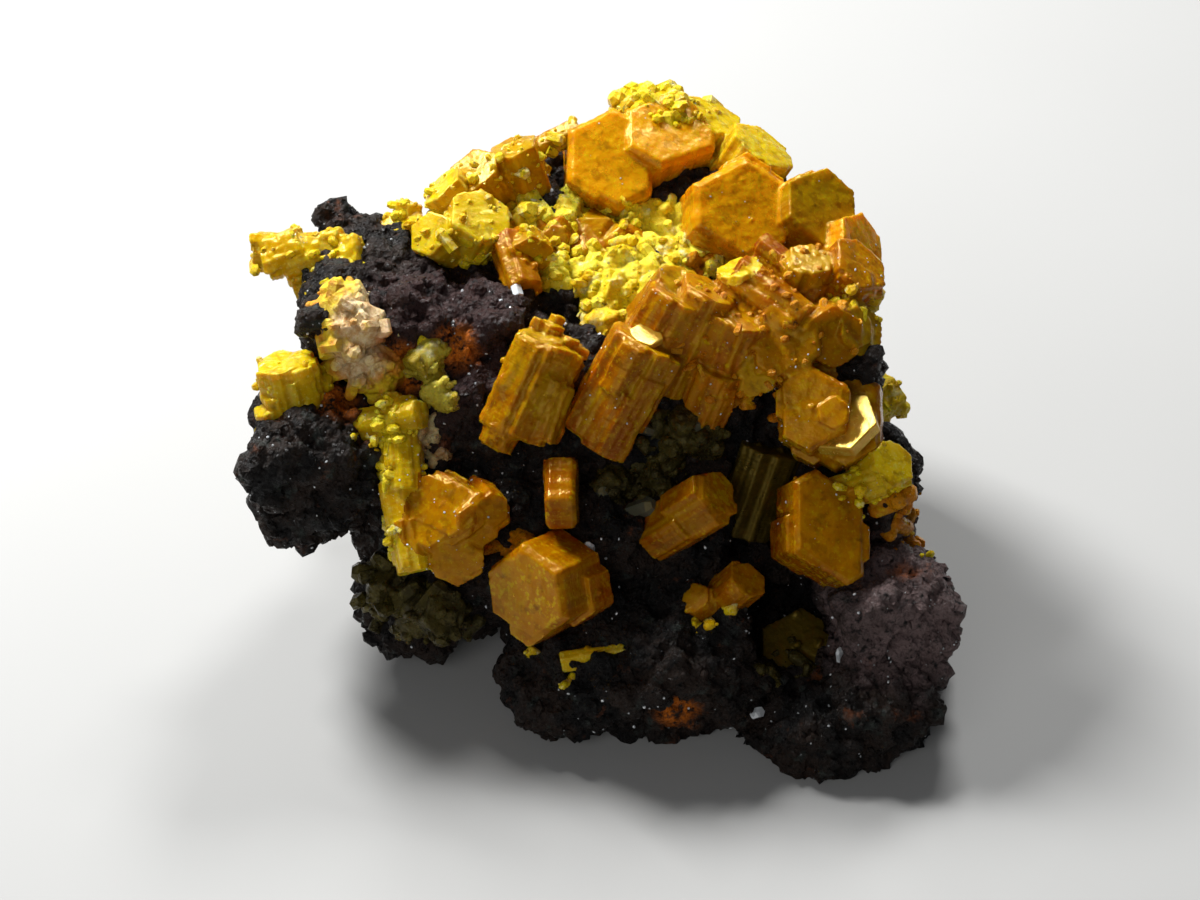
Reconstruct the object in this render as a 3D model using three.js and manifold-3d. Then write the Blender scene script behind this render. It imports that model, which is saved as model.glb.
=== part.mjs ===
// A hand specimen of mimetite on matrix: orange-yellow hexagonal crystals, mostly thick tablets and stubby
// prisms, and knobbly yellow crusts, on a broken block of dark, pitted gossan. Millimetres, +Z up.
// The origin is under the middle of the specimen, on the flat patch that it rests on.
import * as THREE from "three";
import { ImprovedNoise } from "three/addons/math/ImprovedNoise.js";
import { mergeVertices } from "three/addons/utils/BufferGeometryUtils.js";
import Module from "manifold-3d";

const wasm = await Module();
wasm.setup();

// The main view looks down on the specimen, and places are given as seen in it: across, up and back, in
// millimetres from the middle of an upright picture plane that touches the front crystals.
const VIEW_PITCH = THREE.MathUtils.degToRad(40);
const EYE_DISTANCE = 125; // from the eye to that plane
const PLANE_HEIGHT = 11.3; // of the plane's middle above the resting flat
const CENTRE = new THREE.Vector3(0.03, 6.35, 0); // the middle of the finished specimen, in the same axes

const CONTACT_GAP = 0.1; // between a crystal's foot and the rock that it grew on
const FACE_SPREAD = 0.16; // how unequally far a crystal's six side faces stand from its axis
const RIM_CUT = 0.14; // the pyramid faces that cut the best crystals' rims, as a share of their half width

const VIEW_UP = new THREE.Vector3(0, Math.sin(VIEW_PITCH), Math.cos(VIEW_PITCH));
const VIEW_BACK = new THREE.Vector3(0, Math.cos(VIEW_PITCH), -Math.sin(VIEW_PITCH));

const ROCK_COLOUR = 0x2a211e;
const AMBER = 0xd08a12;
const YELLOW = 0xd9bc1c;
const OLIVE = 0x77641c;

// The point that is seen at (across, up) on the picture plane and lies a distance behind it.
function seen(across, up, back) {
  const spread = 1 + back / EYE_DISTANCE;
  return new THREE.Vector3(across * spread, 0, PLANE_HEIGHT)
    .addScaledVector(VIEW_UP, up * spread)
    .addScaledVector(VIEW_BACK, back);
}

// A direction in the main view: across, up and towards the eye.
function heading(across, up, near) {
  return new THREE.Vector3(across, 0, 0)
    .addScaledVector(VIEW_UP, up)
    .addScaledVector(VIEW_BACK, -near)
    .normalize();
}

// The same run of numbers from 0 to 1 each time, for one seed.
function dice(seed) {
  let state = Math.imul(seed, 0x9e3779b1);
  return () => {
    state = (state + 0x6d2b79f5) | 0;
    let mixed = Math.imul(state ^ (state >>> 15), 1 | state);
    mixed = (mixed + Math.imul(mixed ^ (mixed >>> 7), 61 | mixed)) ^ mixed;
    return ((mixed ^ (mixed >>> 14)) >>> 0) / 2 ** 32;
  };
}

function anyDirection(roll) {
  return new THREE.Vector3().setFromSphericalCoords(1, Math.acos(2 * roll() - 1), 2 * Math.PI * roll());
}

// A closed geometry as a solid that can be joined and cut.
function solid(geometry) {
  geometry.deleteAttribute("normal");
  geometry.deleteAttribute("uv");
  const merged = mergeVertices(geometry, 1e-5);
  return new wasm.Manifold(
    new wasm.Mesh({
      numProp: 3,
      vertProperties: new Float32Array(merged.attributes.position.array),
      triVerts: new Uint32Array(merged.index.array),
    }),
  );
}

function joined(solids) {
  return solids.reduce((whole, next) => whole.add(next));
}

// The largest of the bodies that a cut leaves.
function mainBody(body) {
  return body.decompose().reduce((best, next) => (next.volume() > best.volume() ? next : best));
}

// A solid's triangles, flat shaded.
function geometryOf(body) {
  const { numProp, vertProperties, triVerts } = body.getMesh();
  const points = new Float32Array(triVerts.length * 3);
  triVerts.forEach((corner, i) => {
    points.set(vertProperties.subarray(corner * numProp, corner * numProp + 3), i * 3);
  });
  const geometry = new THREE.BufferGeometry();
  geometry.setAttribute("position", new THREE.BufferAttribute(points, 3));
  geometry.computeVertexNormals();
  return geometry;
}

const relief = new ImprovedNoise();

// How far the broken rock stands out or in at a point: broad swells with smaller knobs on them.
function broken(p) {
  const swell = relief.noise(p.x / 4.1 + 11, p.y / 4.1 + 5, p.z / 4.1 + 7);
  const knob = relief.noise(p.x / 1.7 + 31, p.y / 1.7 + 17, p.z / 1.7 + 3);
  return swell * 1.2 + knob * 0.8;
}

// A lump of rock: a ball stretched to its half sizes, squared off, chipped flat in places and roughened.
function lump({ at, half, squared = 0.3, chips = 9, rough = 1, seed = 1, grown = 0 }) {
  const roll = dice(seed);
  const chip = () => ({ facing: anyDirection(roll), reach: 0.7 + 0.2 * roll() });
  const flats = Array.from({ length: chips }, chip);
  const geometry = new THREE.IcosahedronGeometry(1, 2);
  const place = geometry.getAttribute("position");
  const middle = new THREE.Vector3(...at);
  const stretch = new THREE.Vector3(...half);
  const p = new THREE.Vector3();
  const outward = new THREE.Vector3();
  for (let i = 0; i < place.count; i++) {
    p.fromBufferAttribute(place, i);
    const reach = Math.max(Math.abs(p.x), Math.abs(p.y), Math.abs(p.z));
    p.multiplyScalar((1 - 0.2 * squared) / Math.pow(reach, squared));
    for (const flat of flats) {
      p.addScaledVector(flat.facing, -Math.max(0, p.dot(flat.facing) - flat.reach));
    }
    outward.copy(p).normalize();
    p.multiply(stretch).add(middle);
    p.addScaledVector(outward, rough * broken(p) + grown);
    place.setXYZ(i, p.x, p.y, p.z);
  }
  return solid(geometry);
}

// A hexagon with its corners where sides that stand at the given distances from the middle meet.
function hexagon(distances) {
  const outline = new THREE.Shape();
  const corner = Math.PI / 3;
  distances.forEach((near, side) => {
    const far = distances[(side + 1) % 6];
    const along = (far - near * Math.cos(corner)) / Math.sin(corner);
    const x = near * Math.cos(side * corner) - along * Math.sin(side * corner);
    const y = near * Math.sin(side * corner) + along * Math.cos(side * corner);
    if (side === 0) outline.moveTo(x, y);
    else outline.lineTo(x, y);
  });
  outline.closePath();
  return outline;
}

// One crystal: a hexagonal prism, with its rims cut by pyramid faces if it has a cut. `wide` is the half
// width between side faces, or `sides` gives each one's distance from the axis, anticlockwise from the right.
function crystal({ at, axis, wide, sides, long, roll = 0, seed = 1, cut = 0 }) {
  const spread = dice(seed);
  const faces = sides ?? Array.from({ length: 6 }, () => wide * (1 + FACE_SPREAD * (2 * spread() - 1)));
  const rim = Math.min(...faces) * cut;
  const geometry = new THREE.ExtrudeGeometry(hexagon(faces), {
    depth: long - 2 * rim,
    bevelThickness: rim,
    bevelSize: rim,
    bevelOffset: -rim,
    bevelSegments: 1,
    bevelEnabled: cut > 0,
  });
  const right = Math.abs(axis.x) > 0.8 ? VIEW_UP.clone() : new THREE.Vector3(1, 0, 0);
  right.addScaledVector(axis, -right.dot(axis)).normalize();
  const turned = new THREE.Matrix4().makeBasis(right, axis.clone().cross(right), axis);
  geometry
    .translate(0, 0, rim - long / 2)
    .rotateZ(THREE.MathUtils.degToRad(roll))
    .applyMatrix4(turned)
    .translate(...at);
  return solid(geometry);
}

// Where a straight line first meets the rock, and which way the rock faces there.
function landing(rockMesh, from, towards) {
  const [hit] = new THREE.Raycaster(from, towards).intersectObject(rockMesh);
  return hit && { point: hit.point, facing: hit.face.normal };
}

// A knobbly crust: low knobs in a line from `start` to `end`, settled on the rock from the side that `out`
// faces. A small crystal stands on every other one, unless the crust is bare.
function crust(rockMesh, row) {
  const { start, end, out, spread, count, knob, wide = 0.5, long = 1.5, bare = false, seed = 1 } = row;
  const roll = dice(seed);
  const pieces = [];
  for (let i = 0; i < count; i++) {
    const aim = start.clone().lerp(end, (i + 0.5) / count);
    aim.addScaledVector(anyDirection(roll), spread * roll());
    const spot = landing(rockMesh, aim.addScaledVector(out, 20), out.clone().negate());
    const size = knob * (0.8 + 0.4 * roll());
    const lean = anyDirection(roll).multiplyScalar(0.7);
    const shape = 0.75 + 0.5 * roll();
    const turn = 60 * roll();
    if (!spot) continue;
    pieces.push(solid(new THREE.IcosahedronGeometry(size, 0).rotateX(turn).translate(...spot.point)));
    if (bare || i % 2) continue;
    const axis = spot.facing.clone().add(lean).normalize();
    const at = spot.point.clone().addScaledVector(axis, 0.35 * long * shape);
    pieces.push(crystal({ at, axis, wide: wide * shape, long: long * shape, roll: turn, seed: i + 1 }));
  }
  return pieces;
}

// The gossan: a broken block with a flat-topped left shoulder, a back summit, a foot under the front,
// an arm on the right and deep hollows between them.
const ROCK = [
  { at: [0, 7.4, 8.4], half: [9, 7, 6.4], squared: 0.6 },
  { at: [-7.4, 8.2, 11.2], half: [5.4, 5, 4.2], squared: 0.8 },
  { at: [-11.1, 3, 8.9], half: [4, 3.8, 3], squared: 0.5 },
  { at: [-7, 4.4, 7.8], half: [5, 4.6, 4.6], squared: 0.5 },
  { at: [-2.8, 1.8, 6.2], half: [7.2, 3.9, 3.8], squared: 0.4 },
  { at: [-5.6, 2, 3.9], half: [5, 4, 3.2] },
  { at: [1.6, -2, 2.4], half: [6, 5, 3.6], squared: 0.5 },
  { at: [1.4, 0.2, 5.2], half: [5.2, 3.2, 3.4] },
  { at: [9.7, -2.7, 1.4], half: [4.5, 4.5, 2.8], squared: 0.5 },
  { at: [11.6, -1.8, 4], half: [2.9, 3.4, 3.1], squared: 0.6 },
  { at: [9.8, 1.8, 7.2], half: [2.8, 3, 3.2] },
  { at: [8.2, 5.8, 9.4], half: [3.8, 4.6, 5.4], squared: 0.5 },
  { at: [2.6, 13, 11.2], half: [8, 4.6, 4], squared: 0.4 },
  { at: [-2.6, 13, 13.2], half: [3, 3.2, 2.6] },
  { at: [-1.4, 13.4, 6], half: [8.4, 5, 6], squared: 0.5 },
  { at: [3.6, 5.4, 2.8], half: [9.6, 8.6, 4], squared: 0.6 },
  { at: [6.6, 8.2, 6.2], half: [5, 7, 5.6], squared: 0.6 },
];

const HOLLOWS = [
  { at: seen(2.4, -0.6, 0), half: [3.2, 2, 2], squared: 0.2 },
  { at: seen(6.6, -4, 1), half: [2.2, 3.4, 3.2], squared: 0.2 },
  { at: seen(7.4, -7.4, 3), half: [3, 3.8, 1.9], squared: 0.2 },
];

// What grew on the rock, each cluster with its larger crystals, placed and pointed as seen in the main view,
// and its crusts of small ones, each along a line.
const FRONT = heading(0, 0.3, 1);
const BACK = new THREE.Vector3(0, 1, 0);
const RIGHT = new THREE.Vector3(1, 0, 0);
const LEFT = new THREE.Vector3(-1, 0, 0);
const CLUSTERS = {
  front_tablet: {
    colour: AMBER,
    crystals: [
      {
        at: [-2.0, -5.5, 0.5], axis: [-0.61, -0.25, 0.75], wide: 1.95, long: 2.8, roll: 10, seed: 3,
        cut: RIM_CUT,
      },
    ],
  },
  edge_tablet: {
    colour: AMBER,
    crystals: [
      {
        at: [-1.5, -1.84, 0.6], axis: [1, 0.02, 0.05], wide: 1.42, long: 1.25, seed: 4, cut: RIM_CUT,
      },
    ],
  },
  slope_prism: {
    colour: AMBER,
    crystals: [
      {
        at: [3.4, -2.6, 0.9], axis: [0.66, 0.42, 0.62], wide: 1.05, long: 3.8, seed: 5, cut: RIM_CUT,
      },
    ],
  },
  left_rosette: {
    colour: YELLOW,
    crystals: [
      { at: [-6.1, -2.6, 1.0], axis: [-0.3, 0.2, 0.93], wide: 1.45, long: 2.2, seed: 6, cut: RIM_CUT },
      { at: [-4.95, -2.4, 0.8], axis: [0.35, -0.3, 0.88], wide: 1.0, long: 2.2, seed: 7, cut: RIM_CUT },
      { at: [-5.75, -3.95, 1.1], axis: [0.1, -0.5, 0.85], wide: 0.95, long: 2.0, seed: 8 },
      { at: [-7.7, -3.0, 1.0], axis: [0.2, -0.97, 0.1], wide: 0.75, long: 3.8, seed: 9 },
      { at: [-8.0, 0.2, 1.2], axis: [0.1, -1, 0.2], wide: 0.75, long: 3.8, roll: 20, seed: 19 },
      { at: [-8.3, 1.2, 1.2], axis: [0.9, 0.2, 0.4], wide: 0.6, long: 2.6, seed: 20 },
    ],
  },
  ribbed_block: {
    colour: AMBER,
    crystals: [
      {
        at: [-2.7, 2.5, 0.6], axis: [0.41, 0.91, 0.15], wide: 1.25, long: 4.0, seed: 10,
        cut: RIM_CUT,
      },
    ],
  },
  ridge_cluster: {
    colour: AMBER,
    crystals: [
      { at: [0.9, 2.4, 0.2], axis: [0.46, 0.84, 0.28], wide: 1.3, long: 4.6, seed: 21, cut: RIM_CUT },
      { at: [1.9, 3.9, 0.8], axis: [0.46, 0.84, 0.28], wide: 1.1, long: 5.4, seed: 22, cut: RIM_CUT },
      { at: [3.4, 4.5, 1.0], axis: [0.4, 0.84, 0.35], wide: 1.1, long: 4.6, seed: 23 },
      { at: [5.0, 4.0, 1.0], axis: [0.3, 0.8, 0.5], wide: 1.2, long: 3.6, seed: 24 },
      { at: [6.8, 5.9, 0.9], axis: [0.75, -0.6, 0.3], wide: 0.9, long: 3.4, seed: 25 },
      { at: [7.4, 4.1, 0.9], axis: [-0.05, 0.1, 0.95], wide: 1.3, long: 2.6, seed: 26, cut: RIM_CUT },
      { at: [8.9, 4.7, 1.2], axis: [0.3, -0.2, 0.9], wide: 1.1, long: 2.6, seed: 27 },
      { at: [9.5, 4.6, 1.8], axis: [0.6, 0.2, 0.7], wide: 1.1, long: 2.8, seed: 28 },
      { at: [8.1, 6.6, 1.9], axis: [0.2, 0.7, 0.6], wide: 0.9, long: 2.6, seed: 29 },
      { at: [9.7, 6.6, 2.6], axis: [0.5, 0.5, 0.6], wide: 1.2, long: 2.8, seed: 30 },
      {
        at: [8.56, 1.5, 0.7], axis: [-0.1, 0.1, 0.98], sides: [1.36, 1.48, 1.63, 1.24, 1.6, 1.45],
        long: 2.8, cut: RIM_CUT,
      },
      {
        at: [9.3, 1.3, 1.5], axis: [-0.15, 0.15, 0.97], sides: [2, 2, 2.1, 2.1, 1.9, 2], long: 2.0,
        cut: RIM_CUT,
      },
    ],
  },
  lower_right_tablet: {
    colour: AMBER,
    crystals: [
      {
        at: [8.88, -3.3, 0.9], axis: [0.25, 0.15, 0.95], sides: [1.36, 1.78, 2.4, 1.56, 1.6, 2.3],
        long: 2.6, cut: RIM_CUT,
      },
      { at: [11.1, -1.0, 1.2], axis: [0.5, 0.4, 0.7], wide: 0.9, long: 2.4, seed: 34 },
      { at: [10.0, -1.6, 0.9], axis: [0.9, 0.3, 0.3], wide: 0.7, long: 3.0, seed: 35 },
    ],
    crusts: [
      {
        start: seen(11.0, -1.4, 1.4), end: seen(13.6, -4.4, 2), out: FRONT, spread: 0.2, count: 6,
        knob: 0.6, bare: true,
      },
    ],
  },
  summit_cluster: {
    colour: AMBER,
    crystals: [
      { at: [0.4, 11, 8], axis: [0.1, 0.3, 0.9], wide: 1.9, long: 3.2, seed: 40, cut: RIM_CUT },
      { at: [2.4, 12.0, 8.6], axis: [0.2, 0.5, 0.8], wide: 1.8, long: 3.2, seed: 41, cut: RIM_CUT },
      { at: [1.9, 12.9, 9.8], axis: [0, 0.8, 0.5], wide: 1.3, long: 2.8, seed: 42 },
      { at: [4.0, 12.4, 9.6], axis: [0.4, 0.7, 0.5], wide: 1.3, long: 2.8, seed: 43 },
      { at: [5.4, 9.4, 6.2], axis: [0.2, 0.2, 0.95], wide: 2.1, long: 3.4, seed: 44, cut: RIM_CUT },
      { at: [5.9, 11.2, 8.2], axis: [0.5, 0.7, 0.5], wide: 1.3, long: 2.8, seed: 45 },
      { at: [8.2, 9.2, 6.2], axis: [0.5, 0.3, 0.8], wide: 1.6, long: 3.0, seed: 46 },
      { at: [9.4, 7.8, 5.6], axis: [0.7, 0.3, 0.6], wide: 1.2, long: 3.0, seed: 47 },
    ],
  },
  top_left_crust: {
    colour: YELLOW,
    crystals: [
      { at: [-4.6, 10.6, 6.4], axis: [-0.4, 0.5, 0.7], wide: 1.2, long: 2.2, seed: 62 },
      { at: [-3.2, 11.0, 6.8], axis: [-0.3, 0.8, 0.4], wide: 1.0, long: 2.6, seed: 63 },
      { at: [-5.6, 9.8, 5.8], axis: [-0.6, 0.6, 0.4], wide: 0.9, long: 2.4, seed: 64 },
    ],
    crusts: [
      {
        start: seen(-8.6, 9.2, 4.5), end: seen(1.3, 9.1, 4.5), out: FRONT, spread: 0.9, count: 12,
        knob: 1.2, seed: 60,
      },
    ],
  },
  yellow_column: {
    colour: YELLOW,
    crusts: [
      {
        start: seen(0.4, 7.4, 3), end: seen(0.2, 5.2, 1), out: FRONT, spread: 0.5, count: 4,
        knob: 1, seed: 61,
      },
    ],
  },
  hanging_prism: {
    colour: AMBER,
    crystals: [{ at: [-3.4, 7.4, 3.6], axis: [0.3, -0.8, 0.5], wide: 0.7, long: 2.8, seed: 69 }],
  },
  left_wing: {
    colour: YELLOW,
    crystals: [
      { at: [-11.9, 7.8, 4.6], axis: [1, -0.05, 0.1], wide: 0.75, long: 4.0, seed: 50 },
      { at: [-10.8, 7.3, 4.4], axis: [0.9, 0.3, 0.3], wide: 0.8, long: 3.2, seed: 51 },
    ],
  },
  broken_plate: {
    colour: YELLOW,
    crusts: [
      {
        start: seen(-10.6, 6.2, 1.5), end: seen(-8.9, 3.0, 1), out: FRONT, spread: 0.7, count: 7,
        knob: 1.2, seed: 65,
      },
    ],
  },
  left_block: {
    colour: YELLOW,
    crystals: [
      { at: [-12.4, 2.3, 1.9], axis: [-0.2, 0.9, 0.4], wide: 1.2, long: 2.8, seed: 55 },
      { at: [-11.8, 2.3, 2.1], axis: [0.4, 0.6, 0.6], wide: 0.7, long: 2.2, seed: 56 },
    ],
  },
  shoulder_sprig: {
    colour: OLIVE,
    crusts: [
      {
        start: seen(-6.8, 4.4, 1), end: seen(-6.0, 1.9, 1), out: FRONT, spread: 0.2, count: 4,
        knob: 0.7, long: 1.2, seed: 68,
      },
    ],
  },
  shaded_prism: {
    colour: OLIVE,
    crystals: [{ at: [6.2, -1.5, 3.2], axis: [0.3, 0.9, 0.3], wide: 1.2, long: 3.8, seed: 70 }],
  },
  deep_crystal: {
    colour: OLIVE,
    crystals: [{ at: [7.6, -8.3, 5], axis: [0.1, 0.4, 0.9], wide: 1.3, long: 3.6, seed: 71 }],
  },
  hollow_crust: {
    colour: OLIVE,
    crusts: [
      {
        start: seen(0, -1.6, 2), end: seen(4.4, 0.8, 2), out: FRONT,
        spread: 0.2, count: 6, knob: 1, long: 1.3, seed: 66,
      },
    ],
  },
  foot_crystals: {
    colour: AMBER,
    crystals: [
      { at: [5.2, -5.8, 1.6], axis: [0.5, 0.5, 0.7], wide: 0.8, long: 2.8, seed: 72 },
      { at: [4.3, -6.3, 1.7], axis: [-0.5, 0.5, 0.7], wide: 0.6, long: 2.0, seed: 73 },
      { at: [3.4, -7.0, 1.9], axis: [-0.8, -0.3, 0.5], wide: 0.6, long: 2.2, seed: 74 },
    ],
  },
  foot_blade: {
    colour: YELLOW,
    crystals: [{ at: [0.1, -8.2, 0.9], axis: [0.98, 0.15, 0.1], wide: 0.4, long: 3.4, seed: 75 }],
  },
  underside_crust: {
    colour: OLIVE,
    crusts: [
      {
        start: seen(-8.6, -5.8, 5), end: seen(-5, -7.8, 5), out: FRONT, spread: 0.4, count: 5,
        knob: 1.1, wide: 0.8, long: 2, seed: 76,
      },
    ],
  },
  back_crystals: {
    colour: AMBER,
    crusts: [
      {
        start: new THREE.Vector3(-1, 20, 8), end: new THREE.Vector3(6, 20, 10.5), out: BACK,
        spread: 0.9, count: 6, knob: 1.5, wide: 1.1, long: 2.8, seed: 77,
      },
    ],
  },
  right_crystals: {
    colour: YELLOW,
    crusts: [
      {
        start: new THREE.Vector3(15, 5.5, 5), end: new THREE.Vector3(15, 9, 8), out: RIGHT,
        spread: 0.6, count: 4, knob: 1.2, wide: 0.9, long: 2.4, seed: 78,
      },
    ],
  },
  left_side_crystals: {
    colour: YELLOW,
    crusts: [
      {
        start: new THREE.Vector3(-15, 9, 8.5), end: new THREE.Vector3(-15, 12, 6.5), out: LEFT,
        spread: 0.6, count: 5, knob: 0.9, wide: 0.8, long: 2.2, seed: 79,
      },
    ],
  },
};

// The block of rock, or the same block grown by the gap that crystals keep to it.
function rock(grown) {
  const lumps = ROCK.map((one, i) => lump({ ...one, seed: i + 1, grown }));
  const hollows = HOLLOWS.map((one, i) => lump({ ...one, rough: 0.8, seed: i + 50, grown: -grown }));
  return mainBody(joined(lumps).subtract(joined(hollows)));
}

function mesh(name, body, colour) {
  const material = new THREE.MeshStandardMaterial({ color: colour, roughness: 0.5, metalness: 0 });
  const made = new THREE.Mesh(geometryOf(body), material);
  made.name = name;
  return made;
}

const ground = solid(new THREE.BoxGeometry(80, 80, 20).translate(0, 0, -10));
const matrix = mesh("matrix", rock(0).subtract(ground), ROCK_COLOUR);
const keptClear = rock(CONTACT_GAP).add(ground);

const specimen = new THREE.Group();
specimen.add(matrix);
for (const [name, { colour, crystals = [], crusts = [] }] of Object.entries(CLUSTERS)) {
  const large = crystals.map((one) => crystal({ ...one, at: seen(...one.at), axis: heading(...one.axis) }));
  const small = crusts.flatMap((one) => crust(matrix, one));
  specimen.add(mesh(name, mainBody(joined([...large, ...small]).subtract(keptClear)), colour));
}
specimen.position.copy(CENTRE).negate();

export default specimen;
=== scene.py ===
# A hand specimen of mimetite on matrix: orange-yellow hexagonal crystals and knobbly yellow crusts on a
# broken block of dark gossan. Metres, +Z up, with the origin under the middle of the specimen.
import math
import random

import bpy
import numpy as np
from mathutils import Matrix, Vector, noise
from mathutils.bvhtree import BVHTree


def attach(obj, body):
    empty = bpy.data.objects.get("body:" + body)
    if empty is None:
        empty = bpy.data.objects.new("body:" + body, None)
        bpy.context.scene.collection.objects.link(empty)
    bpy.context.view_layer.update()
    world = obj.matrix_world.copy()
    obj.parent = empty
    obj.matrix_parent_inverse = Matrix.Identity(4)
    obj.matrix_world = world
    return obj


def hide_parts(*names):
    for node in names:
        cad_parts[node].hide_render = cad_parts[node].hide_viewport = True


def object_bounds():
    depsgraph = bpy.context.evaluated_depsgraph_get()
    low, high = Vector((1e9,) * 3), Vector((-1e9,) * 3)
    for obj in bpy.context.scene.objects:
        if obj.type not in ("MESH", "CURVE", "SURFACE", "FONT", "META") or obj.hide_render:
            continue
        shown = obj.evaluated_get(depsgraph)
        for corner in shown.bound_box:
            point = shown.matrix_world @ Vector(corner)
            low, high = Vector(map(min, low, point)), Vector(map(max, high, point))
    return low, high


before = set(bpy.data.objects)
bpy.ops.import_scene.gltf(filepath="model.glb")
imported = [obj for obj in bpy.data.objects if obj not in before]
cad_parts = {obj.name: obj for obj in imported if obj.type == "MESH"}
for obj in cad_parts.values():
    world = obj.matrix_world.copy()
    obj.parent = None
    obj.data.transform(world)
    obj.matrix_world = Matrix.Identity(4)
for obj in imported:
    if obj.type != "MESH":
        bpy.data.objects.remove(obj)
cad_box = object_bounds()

MM = 0.001

# The main view. Places are seen in it as across, up and back, in millimetres from the middle of a picture
# plane that stands square to the view and touches the front crystals. A camera looks from there.
VIEW_PITCH = math.radians(40)
EYE_DISTANCE = 125
PLANE_MIDDLE = Vector((-0.03, -6.35, 11.3))
PICTURE_WIDTH = 48  # millimetres of that plane across the picture
SENSOR_WIDTH = 36

VIEW_UP = Vector((0, math.sin(VIEW_PITCH), math.cos(VIEW_PITCH)))
VIEW_BACK = Vector((0, math.cos(VIEW_PITCH), -math.sin(VIEW_PITCH)))
EYE = PLANE_MIDDLE - VIEW_BACK * EYE_DISTANCE


def seen(across, up, back):
    """A place on the specimen, from where the main view shows it."""
    spread = 1 + back / EYE_DISTANCE
    return PLANE_MIDDLE + Vector((across * spread, 0, 0)) + VIEW_UP * up * spread + VIEW_BACK * back


def heading(across, up, near):
    """A direction on the specimen, from how it runs in the main view."""
    return (Vector((across, 0, 0)) + VIEW_UP * up - VIEW_BACK * near).normalized()


bpy.ops.object.select_all(action="DESELECT")
bpy.ops.object.camera_add(location=EYE * MM, rotation=(math.radians(90) - VIEW_PITCH, 0, 0))
camera = bpy.context.object
camera.name = "main_view"
camera.data.sensor_width = SENSOR_WIDTH
camera.data.lens = SENSOR_WIDTH * EYE_DISTANCE / PICTURE_WIDTH
camera.data.clip_start = MM
bpy.context.scene.camera = camera

# The gossan: one broken block of porous iron-oxide rock, black-brown and pitted, with rust in its hollows. It
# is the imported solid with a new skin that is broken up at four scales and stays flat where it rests.
ROCK_VOXEL = 0.17
BOX_SLACK = 0.4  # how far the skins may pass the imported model's box
WELD_REACH = 0.001
WEAR = 0.5  # how strongly the rims of a skin are rounded
ROCK_RELIEF = [
    # texture, size of its forms, how far it moves the skin, and the level that stays where it is
    ("CLOUDS", 2.6, 1.0, 0.42),
    ("VORONOI", 1.3, 0.9, 0.40),
    ("CLOUDS", 0.6, 0.75, 0.42),
    ("VORONOI", 0.5, 0.35, 0.40),
]


def work_on(piece):
    bpy.ops.object.select_all(action="DESELECT")
    piece.select_set(True)
    bpy.context.view_layer.objects.active = piece


def take_up(node, name):
    """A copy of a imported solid, with its loose triangles merged, that stands for it from here on."""
    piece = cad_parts[node].copy()
    piece.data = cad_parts[node].data.copy()
    piece.name = name
    piece.parent = None
    bpy.context.scene.collection.objects.link(piece)
    work_on(piece)
    bpy.ops.object.mode_set(mode="EDIT")
    bpy.ops.mesh.select_all(action="SELECT")
    bpy.ops.mesh.remove_doubles(threshold=WELD_REACH * MM)
    bpy.ops.object.mode_set(mode="OBJECT")
    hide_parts(node)
    return piece


def reskin(piece, voxel):
    """One even skin over everything in the piece, with its rims a little rounded."""
    work_on(piece)
    skin = piece.modifiers.new("skin", "REMESH")
    skin.mode = "VOXEL"
    skin.voxel_size = voxel * MM
    bpy.ops.object.modifier_apply(modifier="skin")
    worn = piece.modifiers.new("worn", "SMOOTH")
    worn.factor = WEAR
    worn.iterations = 1
    bpy.ops.object.modifier_apply(modifier="worn")


def relief(piece, kind, size, depth, level):
    """Moves the skin in and out by a three-dimensional pattern."""
    pattern = bpy.data.textures.new("relief", kind)
    pattern.noise_scale = size * MM
    work_on(piece)
    moved = piece.modifiers.new("relief", "DISPLACE")
    moved.texture = pattern
    moved.texture_coords = "LOCAL"
    moved.strength = depth * MM
    moved.mid_level = level
    bpy.ops.object.modifier_apply(modifier="relief")


def points_of(piece):
    flat = np.empty(len(piece.data.vertices) * 3)
    piece.data.vertices.foreach_get("co", flat)
    return flat.reshape(-1, 3)


def keep_in_box(piece):
    """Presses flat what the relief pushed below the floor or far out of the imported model's box."""
    low = np.array(cad_box[0]) - BOX_SLACK * MM
    high = np.array(cad_box[1]) + BOX_SLACK * MM
    low[2] = 0
    points = np.clip(points_of(piece), low, high)
    piece.data.vertices.foreach_set("co", points.reshape(-1))
    piece.data.update()


rock = take_up("matrix", "gossan_block")
reskin(rock, ROCK_VOXEL)
for kind, size, depth, level in ROCK_RELIEF:
    relief(rock, kind, size, depth, level)
keep_in_box(rock)
work_on(rock)
bpy.ops.object.shade_smooth()
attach(rock, "root")
rock_tree = BVHTree.FromObject(rock, bpy.context.evaluated_depsgraph_get())


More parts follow.
